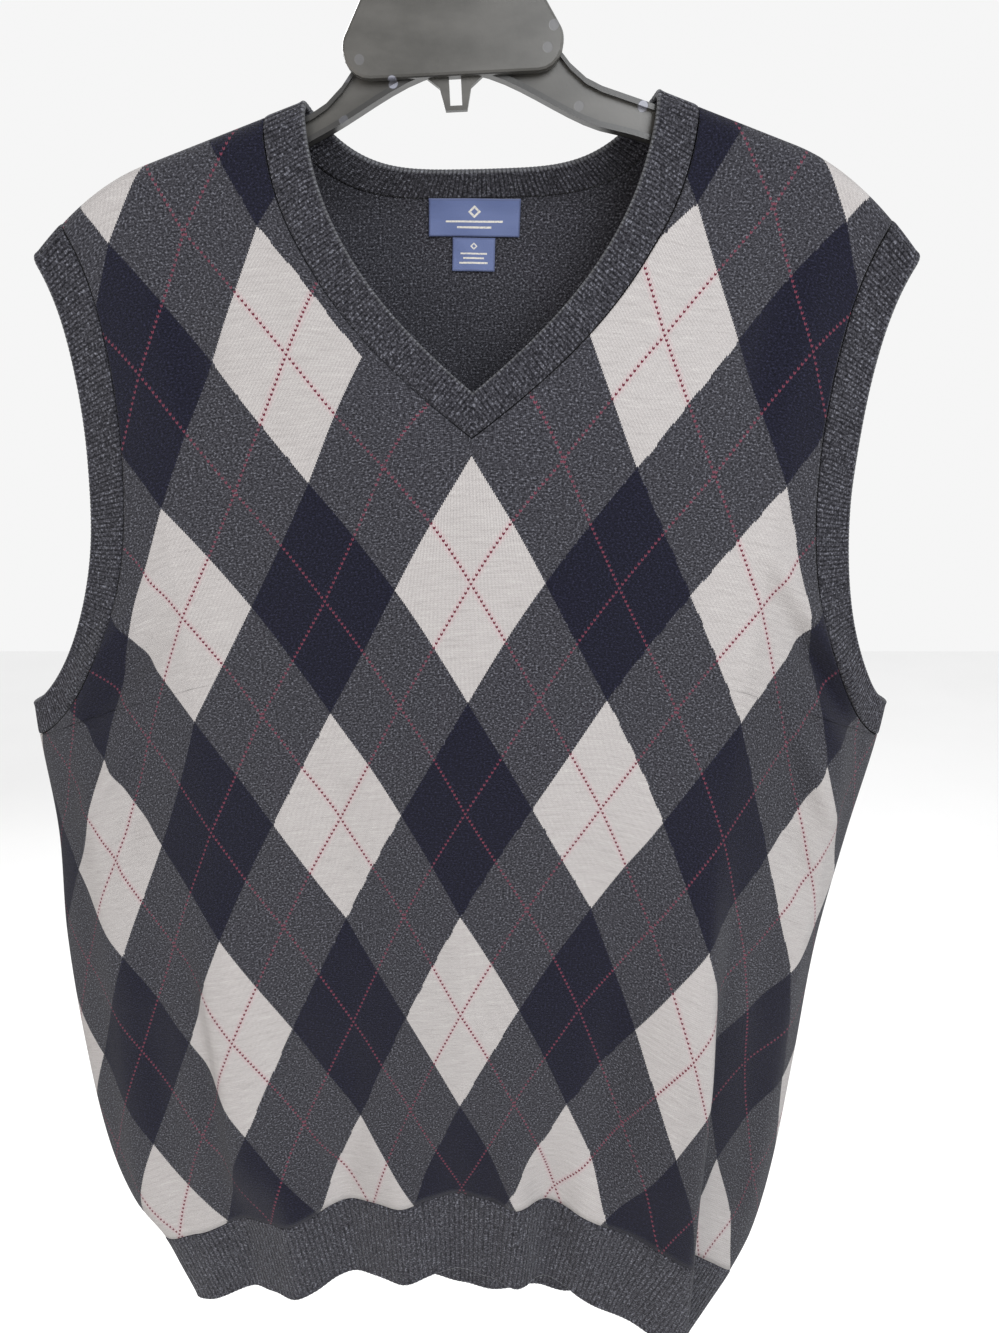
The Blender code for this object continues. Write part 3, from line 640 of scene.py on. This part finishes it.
def label(name, top, size):
    """A woven label lying inside the back, sewn down so that it is slack between its corners."""
    width, height = size
    across, down = np.linspace(0, 1, 49), np.linspace(0, 1, 25)
    v, u = np.meshgrid(down, across, indexing="ij")
    x = LABEL_X + width * (u - 0.5)
    row = top + height * v + LABEL_LEAN * (u - 0.5) * width
    angle = PI - np.arcsin(x / half_width(np.sign(x), row))
    slackness = 0.0005 * np.sin(PI * u) * np.sin(PI * v) + 0.0002 * np.sin(9 * u + 4 * v)
    weave = np.stack([1 - u, v, 0 * u], axis=-1)[:, ::-1]
    outer = -RIB_WALL - LABEL_GAP - slackness
    ids = np.arange(u.size).reshape(u.shape)
    inner = -outer + LABEL_WALL
    return shell(name, angle[:, ::-1], row[:, ::-1], grid(ids), inner, outer, weave)


# The round marks of the hanger's mould: X, Z and how strongly each shows
PIN_MARKS = (
    (-0.0298, -0.1145, 1.0), (0.0895, -0.1239, 0.9), (-0.0448, -0.1057, 0.15),
    (0.0461, -0.0915, 0.2), (0.0434, -0.1006, 0.15), (-0.0522, -0.1120, 0.15),
    (-0.0540, -0.1300, 0.2), (0.0591, -0.1235, 0.15),
)


# Finishes
class Value:
    """A number on the surface, which Python's operators work on."""

    def __init__(self, finish, socket):
        self.finish, self.socket = finish, socket

    def math(self, operation, *others):
        return self.finish.math(operation, self, *others)

    def __add__(self, other):
        return self.math("ADD", other)

    def __sub__(self, other):
        return self.math("SUBTRACT", other)

    def __rsub__(self, other):
        return self.finish.math("SUBTRACT", other, self)

    def __mul__(self, other):
        return self.math("MULTIPLY", other)

    def __pow__(self, other):
        return self.math("POWER", other)

    def __lt__(self, other):
        return self.math("LESS_THAN", other)

    def __gt__(self, other):
        return self.math("GREATER_THAN", other)

    def __abs__(self):
        return self.math("ABSOLUTE")

    __radd__, __rmul__ = __add__, __mul__

    def floor(self):
        return self.math("FLOOR")

    def whole(self):
        """The nearest whole number."""
        return (self + 0.5).floor()

    def part(self):
        return self.math("FRACT")

    def least(self, other):
        return self.math("MINIMUM", other)

    def most(self, other):
        return self.math("MAXIMUM", other)


class Finish:
    """A material being made, by expressions on values and by nodes."""

    def __init__(self, name, **settings):
        self.material = bpy.data.materials.new(name)
        self.material.use_nodes = True
        self.tree = self.material.node_tree
        self.shader = self.tree.nodes["Principled BSDF"]
        for socket, value in settings.items():
            self.shader.inputs[socket.replace("_", " ")].default_value = value

    def feed(self, socket, value):
        if isinstance(value, Value):
            self.tree.links.new(value.socket, socket)
        elif isinstance(value, bpy.types.NodeSocket):
            self.tree.links.new(value, socket)
        else:
            socket.default_value = value

    def node(self, kind, settings, inputs):
        made = self.tree.nodes.new(kind)
        for name, value in settings.items():
            setattr(made, name, value)
        for name, value in inputs.items():
            self.feed(made.inputs[name], value)
        return made

    def math(self, operation, *values):
        made = self.node("ShaderNodeMath", {"operation": operation}, dict(enumerate(values)))
        return Value(self, made.outputs[0])

    def mix(self, share, first, second, blend="MIX"):
        made = self.node("ShaderNodeMix", {"data_type": "RGBA", "blend_type": blend},
                         {0: share, 6: first, 7: second})
        return made.outputs[2]

    def parts(self, vector):
        made = self.node("ShaderNodeSeparateXYZ", {}, {"Vector": vector})
        return [Value(self, output) for output in made.outputs]

    def attribute(self, name):
        made = self.node("ShaderNodeAttribute", {"attribute_name": name}, {})
        return made.outputs["Vector"]

    def spread(self, vector, scales):
        made = self.node("ShaderNodeVectorMath", {"operation": "MULTIPLY"}, {0: vector, 1: scales})
        return made.outputs[0]

    def noise(self, vector, scale, detail=2.0, roughness=0.5):
        inputs = {"Vector": vector, "Scale": scale, "Detail": detail, "Roughness": roughness}
        made = self.node("ShaderNodeTexNoise", {"noise_dimensions": "3D"}, inputs)
        return Value(self, made.outputs["Fac"])

    def stretch(self, value, low, high):
        """0 below low and 1 above high, smooth between."""
        made = self.node("ShaderNodeMapRange", {"interpolation_type": "SMOOTHSTEP"},
                         {"Value": value, "From Min": low, "From Max": high})
        return Value(self, made.outputs["Result"])

    def place_on_object(self):
        return self.node("ShaderNodeTexCoord", {}, {}).outputs["Object"]

    def raised(self, height, distance, strength=1.0):
        made = self.node("ShaderNodeBump", {}, {"Height": height, "Distance": distance,
                                                "Strength": strength})
        self.tree.links.new(made.outputs["Normal"], self.shader.inputs["Normal"])

    def colour(self, value):
        self.feed(self.shader.inputs["Base Color"], value)

    def rough(self, value):
        self.feed(self.shader.inputs["Roughness"], value)


CHARCOAL = (0.0322, 0.0319, 0.0392, 1)
CHARCOAL_DARK = (0.0063, 0.0064, 0.0089, 1)
CHARCOAL_FLECK = (0.1528, 0.1564, 0.1833, 1)
NAVY = (0.0056, 0.0058, 0.0148, 1)
NAVY_DARK = (0.0017, 0.0018, 0.0052, 1)
NAVY_FLECK = (0.0212, 0.0224, 0.0460, 1)
LIGHT = (0.3744, 0.3552, 0.3504, 1)
LIGHT_DARK = (0.2655, 0.2486, 0.2442, 1)
LIGHT_FLECK = (0.4902, 0.4760, 0.4601, 1)
LIGHT_YARN = (LIGHT_DARK, LIGHT, LIGHT_FLECK, 0.2, 0.8)
CHARCOAL_YARN = (CHARCOAL_DARK, CHARCOAL, CHARCOAL_FLECK)
NAVY_YARN = (NAVY_DARK, NAVY, NAVY_FLECK)
# The dotted line over each ground, and its blush on the light one
RED_ON_CHARCOAL = (0.135, 0.038, 0.058, 1)
RED_ON_NAVY = (0.130, 0.030, 0.050, 1)
RED_ON_LIGHT = (0.105, 0.013, 0.026, 1)
BLUSH = (0.41, 0.26, 0.28, 1)
# The second is painted shade for the ribs' grooves, the third a painted highlight along a band's
# rounded free edge.
BLACK, RIB_SHADE, EDGE_HIGHLIGHT = (0, 0, 0, 1), (0.002, 0.002, 0.003, 1), (0.20, 0.205, 0.215, 1)
TAPE, TAPE_RAISED = (0.050, 0.075, 0.185, 1), (0.085, 0.115, 0.245, 1)
TAPE_BORDER, CREAM = (0.028, 0.040, 0.105, 1), (0.55, 0.52, 0.44, 1)
PLASTIC_DARK, PLASTIC_PALE = (0.027, 0.026, 0.023, 1), (0.046, 0.044, 0.040, 1)
# The first is painted shade for the frame's rims, the second the colour of the mould's pin marks.
RIM_PAINTED_SHADE, PIN_GREY = (0.008, 0.008, 0.008, 1), (0.30, 0.31, 0.38, 1)
WOOL = {
    "Roughness": 0.95, "Specular_IOR_Level": 0.12, "Sheen_Weight": 0.06, "Sheen_Roughness": 0.5,
}
FIBRE = (1.15, 1.25, 1)  # how fine the yarn's flecks are, in wales and courses
FUZZ = 2600
STITCH_DEPTH = 0.00026


def yarn(finish, vector, dark, middle, light, low=0.34, high=0.72):
    """Heathered yarn: short streaks of darker and lighter fibre."""
    streak = finish.noise(vector, 1.0, 3.0, 0.6)
    below = finish.stretch(streak, low, 0.52)
    above = finish.stretch(streak, 0.52, high)
    return finish.mix(above, finish.mix(below, dark, middle), light)


def stitch_heights(wale, course):
    """Two legs a wale, meeting in a V, and the groove between courses."""
    lean = abs(wale.part() - 0.5)
    slant = course + lean * 1.1
    leg = 1 - (lean * 4 - 1) ** 2
    turn = 1 - (slant.part() * 2 - 1) ** 2
    return leg * (turn * 0.6 + 0.4), slant


def as_stitches(finish, height, base):
    """Gives the finish its colour and its relief, as stitches of slightly fuzzy wool."""
    shade = finish.stretch(height, -0.1, 0.75)
    # The dips between stitch legs and between courses are darkened towards black with painted shade.
    finish.colour(finish.mix(shade * 0.4 + 0.6, BLACK, base))
    fuzz = finish.noise(finish.place_on_object(), FUZZ, 2.0)
    finish.raised(height + fuzz * 0.4, STITCH_DEPTH)


def argyle_finish():
    finish = Finish("argyle_knit", **WOOL)
    cloth = finish.attribute("cloth")
    wale, course, _ = finish.parts(cloth)
    height, slant = stitch_heights(wale, course)
    stitch, line = wale.floor() * (1 / WALES), slant.floor() * (1 / COURSES)
    falling, rising = stitch + line, stitch - line
    half_stitch = (wale * 2).floor() * (0.5 / WALES)
    one, two = (half_stitch + line).whole(), (half_stitch - line).whole()
    one_even, two_even = (one * 0.5).part() < 0.25, (two * 0.5).part() < 0.25
    light = one_even * two_even
    under_v = (abs(wale) < 30) * (course < -COURSES / 2)
    navy = (1 - one_even) * (1 - two_even) * (1 - under_v)
    off_line = abs(falling - falling.whole()).least(abs(rising - rising.whole())) * WALES
    dots = off_line < 0.25
    haze = 1 - finish.stretch(off_line, 0.6, 2.2)
    fibres = finish.spread(cloth, FIBRE)
    charcoal, blue = yarn(finish, fibres, *CHARCOAL_YARN), yarn(finish, fibres, *NAVY_YARN)
    flecked = yarn(finish, fibres, *LIGHT_YARN)
    banded = yarn(finish, finish.spread(cloth, (0.09, 0.7, 1)), *LIGHT_YARN)
    pale = finish.mix(haze * 0.35, finish.mix(0.5, flecked, banded), BLUSH)
    base = finish.mix(light, finish.mix(navy, charcoal, blue), pale)
    over = finish.mix(light, finish.mix(navy, RED_ON_CHARCOAL, RED_ON_NAVY), RED_ON_LIGHT)
    worn = finish.stretch(finish.noise(finish.spread(cloth, (0.4, 0.4, 1)), 1.0), 0.22, 0.44)
    shown = dots * (light.most(navy * 0.9).most(worn * 0.9))
    as_stitches(finish, height, finish.mix(shown, base, over))
    return finish.material


def plain_finish():
    finish = Finish("charcoal_knit", **WOOL)
    cloth = finish.attribute("cloth")
    wale, course, _ = finish.parts(cloth)
    height = stitch_heights(wale, course)[0]
    as_stitches(finish, height, yarn(finish, finish.spread(cloth, FIBRE), *CHARCOAL_YARN))
    return finish.material


def rib_finish(name, edge, depth):
    """Ribbing. edge: how strongly a painted highlight lightens its last course. depth: how dark the
    painted shade in its grooves is.
    """
    finish = Finish(name, **WOOL)
    rib, from_edge, _ = finish.parts(finish.attribute("cloth"))
    spot = finish.place_on_object()
    back = abs((rib.part() - 0.5) * 2)
    groove = finish.stretch(1 - back, 0.02, 0.65)
    row = (from_edge * (1 / 1.35) + back * 0.35).part()  # a course every 1.35 mm
    turn = 1 - (row * 2 - 1) ** 2
    base = yarn(finish, finish.spread(spot, (900, 900, 900)), *CHARCOAL_YARN)
    # A painted highlight lightens the last course, where the band's free edge rounds over.
    highlit_edge = 1 - finish.stretch(from_edge, 0.5, 1.9)
    base = finish.mix(highlit_edge * edge, base, EDGE_HIGHLIGHT)
    # The grooves between ribs and between courses are darkened with painted shade.
    shade = groove * (turn * 0.25 + 0.75)
    finish.colour(finish.mix(shade * depth + (1 - depth), RIB_SHADE, base))
    fuzz = finish.noise(spot, FUZZ, 2.0)
    finish.raised(turn * groove * 0.8 + fuzz * 0.4, 0.00030)
    return finish.material


def label_finish(name, width, height, motif, bars):
    """Blue woven tape with a diamond and bars in cream thread, sizes in millimetres.

    motif: how far down the diamond is, and its half width. bars: how far down, and half length.
    """
    finish = Finish(name, Roughness=0.55, Sheen_Weight=0.2)
    u, v, _ = finish.parts(finish.attribute("cloth"))
    x, y = (u - 0.5) * width, v * height
    from_middle = abs(x) + abs(y - motif[0])
    marks = (from_middle < motif[1]) - (from_middle < motif[1] * 0.55)
    for down, half in bars:
        marks = marks.most((abs(y - down) < 0.45) * (abs(x) < half))
    thread = (x * 3.1).part().most((y * 4.3).part())
    broken = finish.stretch(finish.noise(finish.place_on_object(), 2200, 1.0), 0.36, 0.5)
    blue = finish.mix(thread * 0.35, TAPE, TAPE_RAISED)
    border = (abs(x) > width / 2 - 0.8).most((y < 0.8).most(y > height - 0.8))
    blue = finish.mix(border * 0.55, blue, TAPE_BORDER)
    finish.colour(finish.mix(marks * (broken * 0.5 + 0.4), blue, CREAM))
    finish.raised(thread + marks, 0.00012, 0.7)
    return finish.material


def plastic_finish(name, rims):
    """Dark moulded plastic, with faint swirls and pin marks. rims: how strongly painted shade
    darkens its rims.
    """
    finish = Finish(name, Specular_IOR_Level=0.5)
    spot = finish.place_on_object()
    swirl = finish.noise(finish.spread(spot, (26, 26, 60)), 1.0, 4.0, 0.55)
    fine = finish.noise(spot, 700, 3.0)
    across, depth, up = finish.parts(spot)
    marks = None
    for x, z, strength in PIN_MARKS:
        away = ((across - x) ** 2 + (up - z) ** 2) ** 0.5
        mark = (1 - finish.stretch(away, 0.0021, 0.0025)) * strength
        marks = mark if marks is None else marks.most(mark)
    base = finish.mix(finish.stretch(swirl, 0.3, 0.7), PLASTIC_DARK, PLASTIC_PALE)
    # Painted shade darkens the frame's rims, which stand out beyond its web.
    rim = finish.stretch(abs(depth), 0.0026, 0.0034) * rims
    base = finish.mix(rim, base, RIM_PAINTED_SHADE)
    finish.colour(finish.mix(marks * 0.5, base, PIN_GREY))
    finish.rough(0.24 + swirl * 0.14 + fine * 0.06)
    finish.raised(fine * 0.15 - marks, 0.00010)
    return finish.material


# The scene
def held(piece, node, material):
    """Stands the piece in for its solid: gives it its material, hides the solid and hangs the piece
    from the root.
    """
    piece.data.materials.append(material)
    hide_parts(node)
    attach(piece, "root")


def dress(nodes):
    argyle, plain = argyle_finish(), plain_finish()
    band_rib, hem_knit = rib_finish("band_rib", 0.30, 0.68), rib_finish("hem_rib", 0.55, 0.45)
    held(front_panel(), "front", argyle)
    held(back_panel(), "back", plain)
    neck = band("neck_band_knit", neck_stretches(), NECK_RIB, NECK_BAND, v_phase)
    held(neck, "neck_band", band_rib)
    for side, word in ((-1, "left"), (1, "right")):
        piece = band(f"arm_band_{word}_knit", arm_stretches(side), ARM_RIB, ARM_BAND)
        held(piece, f"arm_band_{word}", band_rib)
    held(hem_rib("hem_rib_front_knit", "front"), "hem_rib_front", hem_knit)
    held(hem_rib("hem_rib_back_knit", "back"), "hem_rib_back", hem_knit)
    main = label_finish("label_weave", 48, 18.5, (6.4, 3.4), ((11.6, 15), (14.2, 9)))
    size = label_finish("size_weave", 22.5, 17.0, (4.2, 1.9), ((8.2, 7), (10.6, 5.5), (13.0, 7.5)))
    top = BACK_NECK_SEAM - 0.0006
    held(label("label_main_tape", top, MAIN_LABEL), "label_main",
         main)
    held(label("label_size_tape", top + 0.0190, SIZE_LABEL), "label_size",
         size)
    rimmed, smooth_plastic = plastic_finish("frame_plastic", 0.92), plastic_finish("plastic", 0.0)
    for name in ("hanger_frame", "hanger_plate", "hanger_tab", "hanger_hook"):
        for slot in nodes[name].material_slots:
            slot.material = rimmed if name == "hanger_frame" else smooth_plastic


def soften(node, width):
    """Rounds the moulded edges of a hanger part."""
    bevel = node.modifiers.new("rounded", "BEVEL")
    bevel.width = width
    bevel.segments = 3
    bevel.limit_method = "ANGLE"
    bevel.angle_limit = math.radians(35)
    bevel.harden_normals = True


def lamp(name, position, aim, size, power, tint):
    """A soft rectangular lamp that faces its aim."""
    light = bpy.data.lights.new(name, "AREA")
    light.shape = "RECTANGLE"
    light.size, light.size_y = size
    light.energy = power
    light.color = tint
    obj = bpy.data.objects.new(name, light)
    obj.location = position
    away = np.array(aim) - np.array(position)
    flat = math.hypot(away[0], away[1])
    obj.rotation_euler = (PI / 2 + math.atan2(away[2], flat), 0, math.atan2(-away[0], away[1]))
    bpy.context.scene.collection.objects.link(obj)


FLOOR_Z, FLOOR_REACH = -1.60, 4
EYE, TILT = (0.0208, -0.541, -0.235), 17.6


def studio():
    """A plain pale floor, soft light and the camera."""
    scene = bpy.context.scene
    scene.view_settings.view_transform = "Standard"
    world = bpy.data.worlds.new("studio")
    world.use_nodes = True
    sky = world.node_tree.nodes["Background"]
    sky.inputs["Color"].default_value = (1, 1, 1, 1)
    sky.inputs["Strength"].default_value = 0.92
    scene.world = world
    mesh = bpy.data.meshes.new("floor")
    edge = np.linspace(-FLOOR_REACH, FLOOR_REACH, 9)
    spots = [(x, y, FLOOR_Z) for y in edge for x in edge]
    mesh.from_pydata(spots, [], grid(np.arange(81).reshape(9, 9))[:, ::-1].tolist())
    floor = bpy.data.objects.new("floor", mesh)
    scene.collection.objects.link(floor)
    paint = Finish("floor_paint", Roughness=0.9)
    shift = paint.noise(paint.place_on_object(), 3.0)
    paint.colour(paint.mix(shift, (0.88, 0.88, 0.88, 1), (0.92, 0.92, 0.92, 1)))
    mesh.materials.append(paint.material)
    lamp("key", (0.75, -1.6, 0.45), (0.0, 0.0, -0.40), (1.0, 1.0), 42, (0.97, 0.985, 1.0))
    lamp("fill", (-1.0, -1.5, -0.30), (0.0, 0.0, -0.50), (1.0, 1.4), 9, (1.0, 0.90, 0.80))
    lamp("behind", (-0.9, 1.5, 0.50), (0.0, 0.0, -0.45), (1.0, 1.0), 30, (1.0, 1.0, 1.0))
    camera = bpy.data.cameras.new("camera")
    camera.lens = 27
    camera.sensor_width = 36
    camera.clip_start = 0.01
    eye = bpy.data.objects.new("camera", camera)
    eye.location = EYE
    eye.rotation_euler = (math.radians(90 - TILT), 0, 0)
    scene.collection.objects.link(eye)
    scene.camera = eye


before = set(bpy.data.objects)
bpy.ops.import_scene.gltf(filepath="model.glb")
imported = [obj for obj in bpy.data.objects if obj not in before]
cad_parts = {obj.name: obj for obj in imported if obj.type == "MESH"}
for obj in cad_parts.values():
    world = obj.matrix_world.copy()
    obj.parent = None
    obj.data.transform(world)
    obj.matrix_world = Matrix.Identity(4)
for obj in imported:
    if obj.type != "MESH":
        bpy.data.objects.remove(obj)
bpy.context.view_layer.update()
studio()
dress(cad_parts)
for name, width in (("hanger_frame", 0.0006), ("hanger_plate", 0.0003), ("hanger_tab", 0.0004)):
    soften(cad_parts[name], width)
